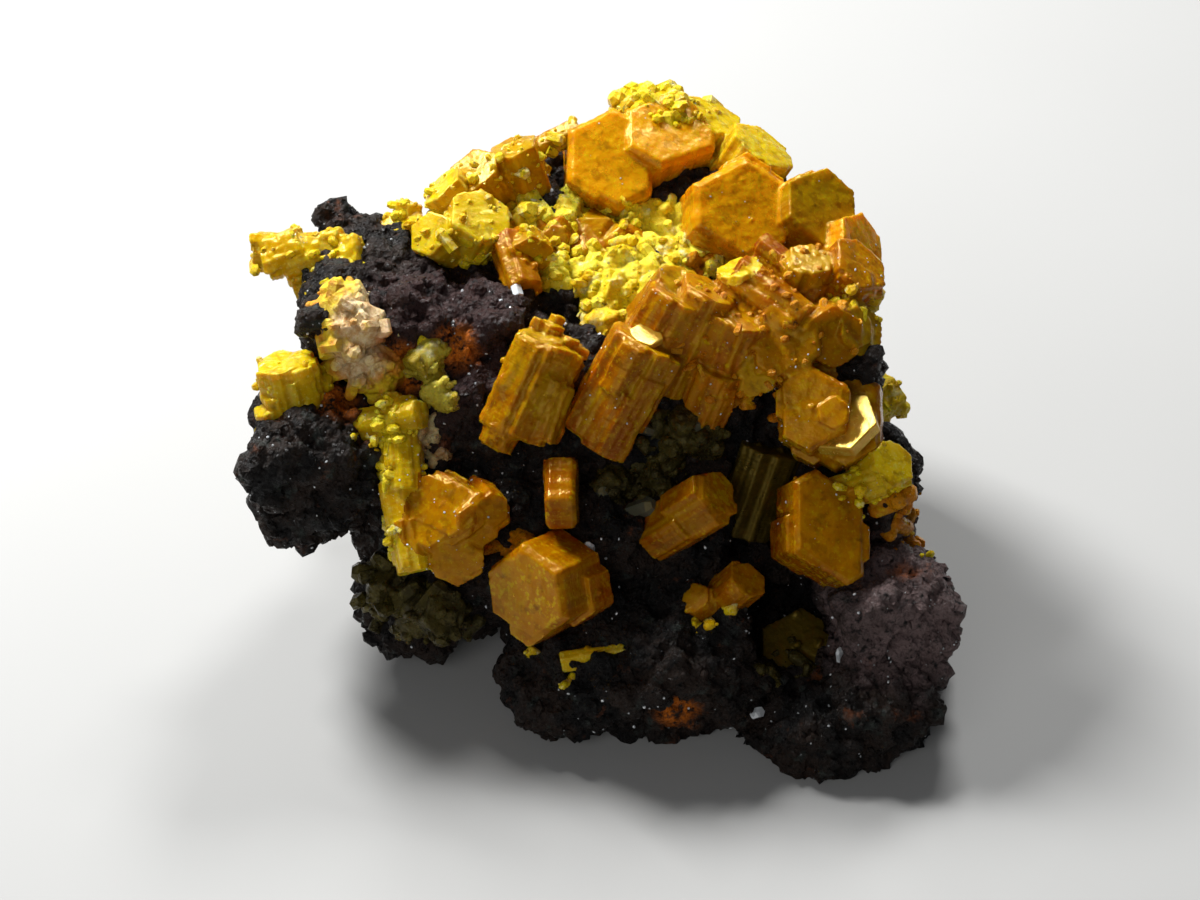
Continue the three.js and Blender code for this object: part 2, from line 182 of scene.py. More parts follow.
class Finish:
    """A material's nodes, added one after another."""

    def __init__(self, name):
        self.material = bpy.data.materials.new(name)
        self.material.use_nodes = True
        self.tree = self.material.node_tree
        self.shader = self.tree.nodes["Principled BSDF"]
        self.place = self.add("ShaderNodeTexCoord").outputs["Object"]

    def add(self, kind, **settings):
        node = self.tree.nodes.new(kind)
        for name, value in settings.items():
            setattr(node, name, value)
        return node

    def link(self, source, target):
        self.tree.links.new(source, target)

    def feed(self, value, socket):
        """A node's output is linked to the socket, and a plain value is set on it."""
        if hasattr(value, "is_output"):
            self.link(value, socket)
        else:
            socket.default_value = value

    def shade(self, socket, value):
        self.feed(value, self.shader.inputs[socket])

    def noise(self, size, detail=3, rough=0.55, offset=0.0, bend=0.0):
        """Soft noise whose forms are about `size` millimetres."""
        moved = self.add("ShaderNodeVectorMath", operation="ADD")
        self.link(self.place, moved.inputs[0])
        moved.inputs[1].default_value = (offset, offset, offset)
        node = self.add("ShaderNodeTexNoise")
        self.link(moved.outputs["Vector"], node.inputs["Vector"])
        node.inputs["Scale"].default_value = 1 / (size * MM)
        node.inputs["Detail"].default_value = detail
        node.inputs["Roughness"].default_value = rough
        node.inputs["Distortion"].default_value = bend
        return node.outputs["Fac"]

    def grains(self, size, output="Distance"):
        """Cells about `size` millimetres across: the way to a cell's middle, or its own random colour."""
        node = self.add("ShaderNodeTexVoronoi")
        self.link(self.place, node.inputs["Vector"])
        node.inputs["Scale"].default_value = 1 / (size * MM)
        return node.outputs[output]

    def facets(self, size):
        """Two random values for each grain about `size` millimetres across."""
        apart = self.add("ShaderNodeSeparateColor")
        self.link(self.grains(size, "Color"), apart.inputs["Color"])
        return apart.outputs["Red"], apart.outputs["Green"]

    def carried(self, name, output="Fac"):
        return self.add("ShaderNodeAttribute", attribute_name=name).outputs[output]

    def raised(self):
        """How far an edge stands out of the surface, about 0.5 where it is flat."""
        return self.add("ShaderNodeNewGeometry").outputs["Pointiness"]

    def ramp(self, value, low, high):
        """0 below `low`, 1 above `high`, and a smooth step between them."""
        node = self.add("ShaderNodeMapRange", interpolation_type="SMOOTHSTEP")
        self.link(value, node.inputs["Value"])
        node.inputs["From Min"].default_value = low
        node.inputs["From Max"].default_value = high
        return node.outputs["Result"]

    def scaled(self, value, low, high):
        node = self.add("ShaderNodeMapRange")
        self.link(value, node.inputs["Value"])
        node.inputs["To Min"].default_value = low
        node.inputs["To Max"].default_value = high
        return node.outputs["Result"]

    def maths(self, operation, first, second):
        node = self.add("ShaderNodeMath", operation=operation)
        self.feed(first, node.inputs[0])
        self.feed(second, node.inputs[1])
        return node.outputs["Value"]

    def mix(self, share, first, second):
        node = self.add("ShaderNodeMix", data_type="RGBA")
        self.feed(share, node.inputs["Factor"])
        self.feed(first, node.inputs["A"])
        self.feed(second, node.inputs["B"])
        return node.outputs["Result"]

    def over(self, colour, coat, mask, share):
        """A coat laid over a colour by a mask, and by no more than its share."""
        return self.mix(self.maths("MULTIPLY", mask, share), colour, coat)

    def near(self, centre, radius, fade):
        """1 within a radius of a place on the specimen, with a ragged edge, in millimetres."""
        node = self.add("ShaderNodeVectorMath", operation="DISTANCE")
        self.link(self.place, node.inputs[0])
        node.inputs[1].default_value = centre * MM
        ragged = self.scaled(self.noise(1.1, 5, 0.7), -radius * 0.7 * MM, radius * 0.7 * MM)
        distance = self.maths("ADD", node.outputs["Value"], ragged)
        inside = self.ramp(distance, (radius - fade) * MM, (radius + fade) * MM)
        return self.maths("SUBTRACT", 1.0, inside)

    def bump(self, height, depth, under=None):
        node = self.add("ShaderNodeBump")
        node.inputs["Strength"].default_value = 1
        node.inputs["Distance"].default_value = depth * MM
        self.link(height, node.inputs["Height"])
        if under is not None:
            self.link(under, node.inputs["Normal"])
        return node.outputs["Normal"]


BLACK = (0.004, 0.0036, 0.0034, 1)
DARK_BROWN = (0.022, 0.013, 0.009, 1)
GREY_GREEN = (0.030, 0.036, 0.031, 1)
RUST = (0.60, 0.15, 0.006, 1)
RUST_BROWN = (0.10, 0.032, 0.012, 1)
PURPLE_BROWN = (0.036, 0.015, 0.014, 1)
LILAC_GREY = (0.19, 0.13, 0.125, 1)
SHOULDER_TOP = (-6.0, 4.8, 2.0)
RIGHT_ARM = (12.2, -6.4, 2.5)
RUST_SPOTS = [
    # across, up, back, radius
    (-11.8, 0.3, 2.6, 1.7),
    (-8.1, 3.2, 1.6, 1.1),
    (-5.8, 4.1, 1.2, 0.8),
    (-10.4, 2.0, 1.5, 0.9),
    (3.1, -10.5, 1.5, 0.8),
    (9.6, -9.6, 3.0, 1.1),
    (12.3, -5.8, 2.5, 1.2),
]


def gossan_finish():
    """Black to brown rock, purple-brown on its shoulder, lilac-grey on its arm, with rust and sparkles."""
    rough = Finish("gossan")
    colour = rough.mix(rough.ramp(rough.noise(2.2, 6, 0.65), 0.38, 0.62), BLACK, DARK_BROWN)
    colour = rough.mix(rough.ramp(rough.noise(0.8, 4, 0.6, 0.4), 0.56, 0.72), colour, GREY_GREEN)
    colour = rough.mix(rough.ramp(rough.noise(1.6, 5, 0.7, 0.9), 0.60, 0.72), colour, RUST_BROWN)
    colour = rough.over(colour, PURPLE_BROWN, rough.near(seen(*SHOULDER_TOP), 3.6, 1.2), 0.75)
    colour = rough.over(colour, LILAC_GREY, rough.near(seen(*RIGHT_ARM), 3.4, 1.2), 0.8)
    stain = rough.ramp(rough.noise(0.7, 5, 0.75, 0.2), 0.38, 0.54)
    for across, up, back, radius in RUST_SPOTS:
        colour = rough.over(colour, RUST, rough.near(seen(across, up, back), radius, 0.5), stain)
    # Painted shade: black spots, laid by noise, that stand for the dark inside small pits.
    painted_pit_shade = rough.ramp(rough.noise(0.35, 4, 0.6, 0.6), 0.30, 0.48)
    rough.shade("Base Color", rough.mix(painted_pit_shade, BLACK, colour))
    shine, tilt = rough.facets(0.16)
    rough.shade("Roughness", rough.scaled(shine, 0.12, 0.95))
    rough.shade("Specular IOR Level", 0.2)
    normal = rough.bump(rough.noise(0.5, 6, 0.7, 0.1), 0.35)
    normal = rough.bump(rough.grains(0.2), 0.10, normal)
    rough.shade("Normal", rough.bump(tilt, 0.03, normal))
    return rough.material


rock.data.materials.clear()
rock.data.materials.append(gossan_finish())

# The loose skin of the gossan: crumbs of the same rock all over it, and flakes of clear druse in between,
# made bright by painted glint. Each small lump is modelled once and strewn as one joined mesh, partly sunk in
# the rock.
CRUMB_COUNT = 6500
CRUMB_SIZES = (0.07, 0.36)
FLAKE_COUNT = 1600
FLAKE_SIZES = (0.03, 0.085)
LEAN = 1.1  # the sideways push that makes a strewn crystal lean
# Painted glint: the grey and white that the druse's facets are painted, grain by grain.
GREY_FACET = (0.30, 0.32, 0.33, 1)
WHITE_GLINT_FACET = (0.75, 0.78, 0.80, 1)


def model_chip(name):
    """One angular lump, one unit in radius, made from a ball with its points pulled about."""
    bpy.ops.object.select_all(action="DESELECT")
    bpy.ops.mesh.primitive_ico_sphere_add(subdivisions=1, radius=1)
    chip = bpy.context.object
    chip.name = name
    bpy.ops.object.mode_set(mode="EDIT")
    bpy.ops.mesh.select_all(action="SELECT")
    bpy.ops.transform.vertex_random(offset=0.22, seed=7)
    bpy.ops.object.mode_set(mode="OBJECT")
    return chip


def spots_on(piece, count, dice):
    """Places spread evenly over a piece's skin, each with the way the skin faces there."""
    faces = piece.data.polygons
    areas = [face.area for face in faces]
    return [(face.center / MM, face.normal.copy()) for face in dice.choices(faces, areas, k=count)]


def any_turn(dice):
    round_z = Matrix.Rotation(dice.uniform(0, math.tau), 3, "Z")
    return round_z @ Matrix.Rotation(dice.uniform(0, math.tau), 3, "X")


def strewn(name, model, spots, sizes, dice, along=False, sink=0.3):
    """Copies of a small model set on spots, as one mesh, each sunk by a share of its size. Small ones are
    commoner than large ones. `along` stands them up from the skin, leaning."""
    smallest, largest = sizes
    shape = points_of(model)
    corners = [list(face.vertices) for face in model.data.polygons]
    points = []
    faces = []
    for place, facing in spots:
        size = smallest + (largest - smallest) * dice.random() ** 2
        turn = any_turn(dice)
        if along:
            lean = (facing + turn @ Vector((LEAN, 0, 0))).normalized()
            spin = Matrix.Rotation(dice.uniform(0, 1), 3, "Z")
            turn = lean.to_track_quat("Z", "Y").to_matrix() @ spin
        first = len(points) * len(shape)
        middle = np.array(place - facing * size * sink)
        stretch = np.array([1, dice.uniform(0.55, 1), dice.uniform(0.7, 1.5)])
        points.append((shape * stretch @ np.array(turn).T * size + middle) * MM)
        faces += [[first + corner for corner in face] for face in corners]
    mesh = bpy.data.meshes.new(name)
    mesh.from_pydata(np.concatenate(points), [], faces)
    piece = bpy.data.objects.new(name, mesh)
    bpy.context.scene.collection.objects.link(piece)
    return piece


def flake_finish():
    """Clear druse: nearly colourless, with its facets painted grey and white as painted glints."""
    clear = Finish("druse_and_painted_glint")
    clear.shade("Base Color", clear.mix(clear.grains(0.3, "Color"), GREY_FACET, WHITE_GLINT_FACET))
    clear.shade("Roughness", clear.scaled(clear.noise(0.2), 0.02, 0.3))
    clear.shade("IOR", 1.9)
    return clear.material


druse_and_painted_glint = flake_finish()
chip = model_chip("chip")
dice = random.Random(11)
crumbs = strewn("rock_crumbs", chip, spots_on(rock, CRUMB_COUNT, dice), CRUMB_SIZES, dice)
crumbs.data.materials.append(rock.data.materials[0])
flakes = strewn("druse_flakes", chip, spots_on(rock, FLAKE_COUNT, dice), FLAKE_SIZES, dice, sink=0)
flakes.data.materials.append(druse_and_painted_glint)
for loose in (crumbs, flakes):
    keep_in_box(loose)
    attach(loose, "root")

# The three single crystals of the front: a thick tablet, a small one above it seen on edge, and a short
# prism. They are mimetite, a half clear, resinous lead chloride arsenate, orange with yellow rims. Each is a
# hexagonal prism that grew on the rock, with parallel slips and small crystals of its own kind on it.
CRYSTAL_VOXEL = 0.06
SLIP_REACH = 0.16  # how far a slip stands out of the crystal it grew on
BIT_SIZES = (0.10, 0.34)
LUMP_SIZE = 0.9
RIB_SPACING = 0.22
RIB_DEPTH = 0.045
GLOW_DEPTH = 0.7
GLOW_COLOURS = (1.0, 0.45, 0.05)  # how far red, green and blue light wander in it, as shares of that depth
GOLDEN_GLOSS = (1.0, 0.70, 0.16, 1)
CRYSTAL_IOR = 1.5
STREAKS_PER_MM = 2.2
RINGS_PER_MM = 5
DEEP_ORANGE = (0.38, 0.075, 0.0, 1)
GOLD = (0.62, 0.25, 0.0005, 1)
LEMON = (0.80, 0.57, 0.003, 1)
BUTTER = (0.90, 0.80, 0.15, 1)
HONEY = (0.66, 0.36, 0.001, 1)
YELLOW = (0.82, 0.57, 0.004, 1)
DUSK_BROWN = (0.10, 0.03, 0.002, 1)
STREAK_BROWN = (0.16, 0.04, 0.0, 1)


def turned(axis, roll):
    """The turn that stands a prism along `axis`, with its first side face towards the right."""
    side = VIEW_UP.copy() if abs(axis.x) > 0.8 else Vector((1, 0, 0))
    side = (side - axis * side.dot(axis)).normalized()
    stand = Matrix((side, axis.cross(side), axis)).transposed()
    return stand @ Matrix.Rotation(math.radians(roll), 3, "Z")


def add_prism(middle, turn, wide, long):
    """A hexagonal prism, in millimetres, added to the mesh that is being edited."""
    bpy.ops.mesh.primitive_cylinder_add(
        vertices=6,
        radius=wide / math.cos(math.pi / 6) * MM,
        depth=long * MM,
        location=middle * MM,
        rotation=turn.to_euler(),
    )


def add_slips(crystal, count, reach, dice):
    """Slips of parallel growth on one crystal, each a thinner prism that stands a little out of it."""
    middle, axis, wide, long, roll = crystal[:5]
    turn = turned(axis, roll)
    for _ in range(count):
        slim = wide * dice.uniform(0.35, 0.75)
        facing = dice.randrange(6) * math.pi / 3 + dice.uniform(-0.4, 0.4)
        away = wide - slim + reach * dice.uniform(0.2, 1)
        length = long * dice.uniform(0.4, 1) + reach
        along = (long - length) / 2 * dice.choice((-1, 1)) + reach * dice.uniform(-1, 0.4)
        shift = turn @ Vector((away * math.cos(facing), away * math.sin(facing), along))
        add_prism(middle + shift, turn, slim, length)


def model_stud(name):
    """One small hexagonal crystal, about a unit in radius, with its upper rim cut back to a low cone."""
    bpy.ops.object.select_all(action="DESELECT")
    bpy.ops.mesh.primitive_cylinder_add(vertices=6, radius=0.8, depth=1.7)
    stud = bpy.context.object
    stud.name = name
    top = [face.index for face in stud.data.polygons if face.normal.z > 0.9]
    bpy.ops.object.mode_set(mode="EDIT")
    bpy.ops.mesh.select_all(action="DESELECT")
    bpy.ops.mesh.select_mode(type="FACE")
    bpy.ops.object.mode_set(mode="OBJECT")
    for index in top:
        stud.data.polygons[index].select = True
    bpy.ops.object.mode_set(mode="EDIT")
    bpy.ops.mesh.extrude_region_move(TRANSFORM_OT_translate={"value": (0, 0, 0.35)})
    bpy.ops.transform.resize(value=(0.55, 0.55, 1), center_override=(0, 0, 1.2))
    bpy.ops.object.mode_set(mode="OBJECT")
    return stud


def normals_of(piece):
    flat = np.empty(len(piece.data.vertices) * 3)
    piece.data.vertices.foreach_get("normal", flat)
    return flat.reshape(-1, 3)


def by_crystal(piece, crystals):
    """For each point of a piece: which crystal it belongs to, how far along that crystal and how far out
    across it the point lies, in millimetres, and how squarely the skin there faces along the crystal."""
    points = points_of(piece) / MM
    normals = normals_of(piece)
    nearest = np.full(len(points), np.inf)
    owner = np.zeros(len(points), dtype=int)
    along = np.zeros(len(points))
    across = np.zeros(points.shape)
    basal = np.zeros(len(points))
    for number, (middle, axis, wide, long, _, _) in enumerate(crystals):
        offset = points - np.array(middle)
        run = offset @ np.array(axis)
        aside = offset - np.outer(run, np.array(axis))
        reach = np.maximum(np.linalg.norm(aside, axis=1) / wide, np.abs(run) / (long / 2))
        closer = reach < nearest
        nearest[closer] = reach[closer]
        owner[closer] = number
        along[closer] = run[closer]
        across[closer] = aside[closer]
        basal[closer] = np.abs(normals[closer] @ np.array(axis))
    return owner, along, across, basal


def rib(piece, crystals):
    """Fine ribs along each crystal: its sides are moved by a noise that only changes across the crystal."""
    _, _, across, basal = by_crystal(piece, crystals)
    depth = [noise.noise(place / RIB_SPACING) * RIB_DEPTH for place in map(Vector, across)]
    points = points_of(piece)
    points += normals_of(piece) * (np.array(depth) * (1 - basal))[:, None] * MM
    piece.data.vertices.foreach_set("co", points.reshape(-1))
    piece.data.update()


def mark_faces(piece, crystals):
    """Carries in the mesh which faces are basal and where on its crystal each point lies, and paints each
    crystal with its own one of the piece's finishes."""
    owner, along, across, basal = by_crystal(piece, crystals)
    lengths = np.array([crystal[3] for crystal in crystals])
    paints = np.array([crystal[5] for crystal in crystals])
    height = along / lengths[owner] + 0.5
    for name, values in (("basal", basal), ("along", along), ("height", height)):
        piece.data.attributes.new(name, "FLOAT", "POINT").data.foreach_set("value", values)
    streaks = piece.data.attributes.new("across", "FLOAT_VECTOR", "POINT")
    streaks.data.foreach_set("vector", across.reshape(-1))
    corner = np.empty(len(piece.data.polygons), dtype=int)
    piece.data.polygons.foreach_get("loop_start", corner)
    vertex = np.empty(len(piece.data.loops), dtype=int)
    piece.data.loops.foreach_get("vertex_index", vertex)
    piece.data.polygons.foreach_set("material_index", paints[owner][vertex[corner]])


def grow(node, finishes, rows, extra=(), slips=6, reach=SLIP_REACH, bits=30,
         voxel=CRYSTAL_VOXEL, lumps=0.08, *, seed):
    """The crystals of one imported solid, with extra ones between them and small ones grown on them. Each row
    is (place seen, heading seen, half width, length, roll, which of the finishes)."""
    dice = random.Random(seed)
    crystals = [(seen(*row[0]), heading(*row[1]), *row[2:]) for row in (*rows, *extra)]
    piece = take_up(node, node + "_crystals")
    work_on(piece)
    bpy.ops.object.mode_set(mode="EDIT")
    for middle, axis, wide, long, roll, _ in crystals[len(rows):]:
        add_prism(middle, turned(axis, roll), wide, long)
    for crystal in crystals:
        add_slips(crystal, slips, reach, dice)
    bpy.ops.object.mode_set(mode="OBJECT")
    spots = spots_on(piece, bits, dice)
    grown = strewn("bits", stud, spots, BIT_SIZES, dice, along=True, sink=0.5)
    work_on(piece)
    grown.select_set(True)
    bpy.ops.object.join()
    reskin(piece, voxel)
    relief(piece, "CLOUDS", LUMP_SIZE, lumps, 0.5)
    rib(piece, crystals)
    keep_in_box(piece)
    piece.data.materials.clear()
    for finish in finishes:
        piece.data.materials.append(finish)
    mark_faces(piece, crystals)
    work_on(piece)
    bpy.ops.object.shade_smooth()
    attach(piece, "root")
    return piece


def mimetite_finish(name, deep, body, rim, glow=0.5, gloss=0.17, clear=0.45):
    """Half clear resinous crystal: `deep` at its foot and on its sides, `body` on its ends, `rim` in patches
    and streaks, and on its edges as a painted highlight."""
    resin = Finish(name)
    cloud = resin.ramp(resin.noise(1.5, 4, 0.6, 0.3, 0.4), 0.36, 0.66)
    basal = resin.scaled(resin.ramp(resin.carried("basal"), 0.6, 0.95), 0.0, 0.45)
    height = resin.scaled(resin.ramp(resin.carried("height"), 0.1, 0.9), 0.0, 0.35)
    share = resin.maths("ADD", resin.maths("ADD", basal, height), resin.scaled(cloud, -0.1, 0.5))
    share = resin.maths("MINIMUM", resin.maths("MAXIMUM", share, 0.0), 1.0)
    colour = resin.mix(share, deep, body)
    colour = resin.over(colour, rim, resin.ramp(resin.noise(0.45, 4, 0.65, 0.9), 0.52, 0.70), 0.35)
    # Painted highlight: the rim colour laid along the raised edges, where bright edge lines catch the light.
    colour = resin.over(colour, rim, resin.ramp(resin.raised(), 0.53, 0.60), 0.55)
    colour = resin.over(colour, DUSK_BROWN, resin.ramp(resin.noise(0.9, 3, 0.6, 1.7), 0.60, 0.74), 0.5)
    streak = resin.add("ShaderNodeTexNoise")
    resin.link(resin.carried("across", "Vector"), streak.inputs["Vector"])
    streak.inputs["Scale"].default_value = STREAKS_PER_MM
    streak.inputs["Detail"].default_value = 4
    colour = resin.over(colour, rim, resin.ramp(streak.outputs["Fac"], 0.54, 0.70), 0.22)
    colour = resin.over(colour, STREAK_BROWN, resin.ramp(streak.outputs["Fac"], 0.48, 0.34), 0.35)
    colour = resin.over(colour, rim, resin.ramp(resin.noise(0.16, 3, 0.7, 2.3), 0.56, 0.70), 0.5)
    resin.shade("Base Color", colour)
    resin.shade("Subsurface Weight", glow)
    resin.shade("Subsurface Radius", GLOW_COLOURS)
    resin.shade("Subsurface Scale", GLOW_DEPTH * MM)
    resin.shade("Transmission Weight", clear)
    resin.shade("IOR", CRYSTAL_IOR)
    resin.shade("Specular IOR Level", 0.45)
    resin.shade("Specular Tint", GOLDEN_GLOSS)
    film = resin.noise(0.6, 4, 0.65, 0.5)
    resin.shade("Roughness", resin.scaled(film, gloss - 0.14, gloss + 0.2))
    rings = resin.add("ShaderNodeTexNoise", noise_dimensions="1D")
    resin.link(resin.carried("along"), rings.inputs["W"])
    rings.inputs["Scale"].default_value = RINGS_PER_MM
    rings.inputs["Detail"].default_value = 3
    normal = resin.bump(rings.outputs["Fac"], 0.03)
    resin.shade("Normal", resin.bump(resin.noise(0.22, 4, 0.6), 0.035, normal))
    return resin.material


stud = model_stud("stud")
amber = mimetite_finish("amber_crystal", DEEP_ORANGE, GOLD, LEMON)
lemon = mimetite_finish("yellow_crystal", HONEY, YELLOW, BUTTER, 0.5, 0.18, 0.35)
grow("front_tablet", [amber], [
    ((-2.0, -5.5, 0.5), (-0.61, -0.25, 0.75), 1.95, 2.8, 10, 0),
], slips=5, bits=14, seed=3)
grow("edge_tablet", [amber], [
    ((-1.5, -1.84, 0.6), (1, 0.02, 0.05), 1.42, 1.25, 0, 0),
], slips=4, reach=0.1, bits=5, seed=4)
grow("slope_prism", [amber, lemon], [
    ((3.4, -2.6, 0.9), (0.66, 0.42, 0.62), 1.05, 3.8, 0, 0),
], bits=12, seed=5)

# The left rosette: three short orange crystals grown through one another, and a lemon bar that runs up from
# them to a cross piece. The bar is made of slimmer prisms of the same mineral, end to end on the rock.
rosette = grow("left_rosette", [amber, lemon], [
    ((-6.1, -2.6, 1.0), (-0.3, 0.2, 0.93), 1.45, 2.2, 0, 0),
    ((-4.95, -2.4, 0.8), (0.35, -0.3, 0.88), 1.0, 2.2, 0, 0),
    ((-5.75, -3.95, 1.1), (0.1, -0.5, 0.85), 0.95, 2.0, 0, 0),
    ((-7.7, -3.0, 1.0), (0.2, -0.97, 0.1), 0.75, 3.8, 0, 1),
    ((-8.0, 0.2, 1.2), (0.1, -1, 0.2), 0.75, 3.8, 20, 1),
    ((-8.3, 1.2, 1.2), (0.9, 0.2, 0.4), 0.6, 2.6, 0, 1),
], slips=8, reach=0.22, bits=60, lumps=0.15, seed=6)

# The ribbed block: one thick golden prism in the middle, made of parallel plates that end at different
# heights. It stands on the rock at the left end of the ridge.
AMBER = (0.50, 0.155, 0.0, 1)
OLD_GOLD = (0.62, 0.34, 0.002, 1)
golden = mimetite_finish("golden_crystal", AMBER, OLD_GOLD, LEMON)
grow("ribbed_block", [golden], [
    ((-2.7, 2.5, 0.6), (0.41, 0.91, 0.15), 1.25, 4.0, 0, 0),
], [
    ((-2.3, 4.3, 0.6), (0.41, 0.91, 0.15), 0.55, 1.7, 0, 0),
    ((-1.3, 3.6, 0.7), (0.41, 0.91, 0.15), 0.5, 1.4, 0, 0),
    ((-3.6, 1.5, 0.2), (0.41, 0.91, 0.15), 0.55, 2.6, 0, 0),
    ((-2.0, 1.6, 0.1), (0.30, 0.93, 0.2), 0.6, 2.2, 20, 0),
    ((-2.5, 3.9, 0.0), (0.25, 0.9, 0.35), 0.7, 1.5, 0, 0),
    ((-1.8, 3.2, 0.9), (0.6, 0.75, 0.25), 0.7, 1.9, 10, 0),
], slips=14, reach=0.3, bits=70, lumps=0.3, seed=10)

# The ridge: large leaning prisms, orange and golden, and crystals grown through one another to their right,
# down to a stepped tablet on a wider plate, along the crest of the rock. Two of them, on the front prism and
# beside the tablet, face so that they throw the back light and the key light straight to the eye.
BACK_GLARE = (0.12, 0.71, 0.69)
KEY_GLARE = (-0.335, 0.564, 0.754)
ridge = grow("ridge_cluster", [amber, golden, lemon], [
    ((0.9, 2.4, 0.2), (0.46, 0.84, 0.28), 1.3, 4.6, 0, 0),
    ((1.9, 3.9, 0.8), (0.46, 0.84, 0.28), 1.1, 5.4, 0, 0),
    ((3.4, 4.5, 1.0), (0.4, 0.84, 0.35), 1.1, 4.6, 0, 0),
    ((5.0, 4.0, 1.0), (0.3, 0.8, 0.5), 1.2, 3.6, 0, 0),
    ((6.8, 5.9, 0.9), (0.75, -0.6, 0.3), 0.9, 3.4, 0, 0),
    ((7.4, 4.1, 0.9), (-0.05, 0.1, 0.95), 1.3, 2.6, 0, 0),
    ((8.9, 4.7, 1.2), (0.3, -0.2, 0.9), 1.1, 2.6, 0, 0),
    ((9.5, 4.6, 1.8), (0.6, 0.2, 0.7), 1.1, 2.8, 0, 1),
    ((8.1, 6.6, 1.9), (0.2, 0.7, 0.6), 0.9, 2.6, 0, 1),
    ((9.7, 6.6, 2.6), (0.5, 0.5, 0.6), 1.2, 2.8, 0, 0),
    ((8.56, 1.5, 0.7), (-0.1, 0.1, 0.98), 1.4, 2.8, 0, 0),
    ((9.3, 1.3, 1.5), (-0.15, 0.15, 0.97), 1.95, 2.0, 0, 0),
], [
    ((1.75, 4.5, 0.5), BACK_GLARE, 0.75, 0.9, 10, 1),
    ((9.7, 0.9, 0.75), KEY_GLARE, 1.15, 1.0, 0, 0),
    ((4.4, 2.3, 1.0), (0.3, 0.8, 0.5), 0.9, 2.4, 0, 0),
    ((2.6, 5.9, 1.5), (0.5, 0.6, 0.6), 0.9, 2.6, 0, 1),
    ((5.8, 6.2, 1.6), (-0.2, 0.8, 0.5), 0.8, 2.6, 0, 2),
    ((7.6, 7.0, 1.8), (0.75, -0.6, 0.3), 0.6, 3.2, 0, 0),
    ((6.3, 3.2, 1.0), (-0.3, -0.3, 0.9), 0.8, 2.0, 0, 1),
], slips=8, reach=0.22, bits=160, lumps=0.15, voxel=0.07, seed=21)

# The lower right tablet: one large orange tablet, and two lemon crystals above its right side. All three grew
# on the rock below the ridge.
lower_right = grow("lower_right_tablet", [amber, lemon], [
    ((8.88, -3.3, 0.9), (0.25, 0.15, 0.95), 1.7, 2.6, 0, 0),
    ((11.1, -1.0, 1.2), (0.5, 0.4, 0.7), 0.9, 2.4, 0, 1),
    ((10.0, -1.6, 0.9), (0.9, 0.3, 0.3), 0.7, 3.0, 0, 1),
], seed=34)

# The summit: large tablets and prisms along the top and the upper right of the specimen, orange with
# lemon ones behind them. They grew close together on the highest part of the rock. Their finish is a lighter
# copy of the orange one, with sunlight painted into its colours.
SUNLIT_ORANGE = (0.68, 0.23, 0.001, 1)
SUNLIT_GOLD = (0.78, 0.35, 0.002, 1)
sunlit = mimetite_finish("summit_crystal_painted_light", SUNLIT_ORANGE, SUNLIT_GOLD, LEMON, 0.6, 0.22, 0.3)
summit = grow("summit_cluster", [sunlit, golden, lemon], [
    ((0.4, 11, 8), (0.1, 0.3, 0.9), 1.9, 3.2, 0, 0),
    ((2.4, 12.0, 8.6), (0.2, 0.5, 0.8), 1.8, 3.2, 0, 0),
    ((1.9, 12.9, 9.8), (0, 0.8, 0.5), 1.3, 2.8, 0, 2),
    ((4.0, 12.4, 9.6), (0.4, 0.7, 0.5), 1.3, 2.8, 0, 2),
    ((5.4, 9.4, 6.2), (0.2, 0.2, 0.95), 2.1, 3.4, 0, 0),
    ((5.9, 11.2, 8.2), (0.5, 0.7, 0.5), 1.3, 2.8, 0, 2),
    ((8.2, 9.2, 6.2), (0.5, 0.3, 0.8), 1.6, 3.0, 0, 1),
    ((9.4, 7.8, 5.6), (0.7, 0.3, 0.6), 1.2, 3.0, 0, 0),
], voxel=0.07, lumps=0.12, seed=40)

# The top left crust: yellow and golden crystals on a knobbly crust along the back edge of the shoulder, and
# one small orange prism that hangs from it towards the front.
top_left = grow("top_left_crust", [lemon, golden], [
    ((-4.6, 10.6, 6.4), (-0.4, 0.5, 0.7), 1.2, 2.2, 0, 1),
    ((-3.2, 11.0, 6.8), (-0.3, 0.8, 0.4), 1.0, 2.6, 0, 1),
    ((-5.6, 9.8, 5.8), (-0.6, 0.6, 0.4), 0.9, 2.4, 0, 0),
], [
    ((-5.0, 8.9, 4.6), (0.3, 0.5, 0.8), 1.2, 1.8, 0, 0),
    ((-6.4, 8.4, 4.4), (-0.5, 0.3, 0.8), 0.9, 1.6, 0, 0),
    ((-1.9, 12.3, 7.6), (0.9, 0.4, 0.1), 0.4, 2.6, 0, 1),
    ((-2.9, 8.0, 4.0), (0.2, -0.4, 0.9), 0.8, 1.6, 0, 1),
], slips=4, bits=150, voxel=0.07, seed=60)
grow("hanging_prism", [amber], [
    ((-3.4, 7.4, 3.6), (0.3, -0.8, 0.5), 0.7, 2.8, 0, 0),
], seed=69)

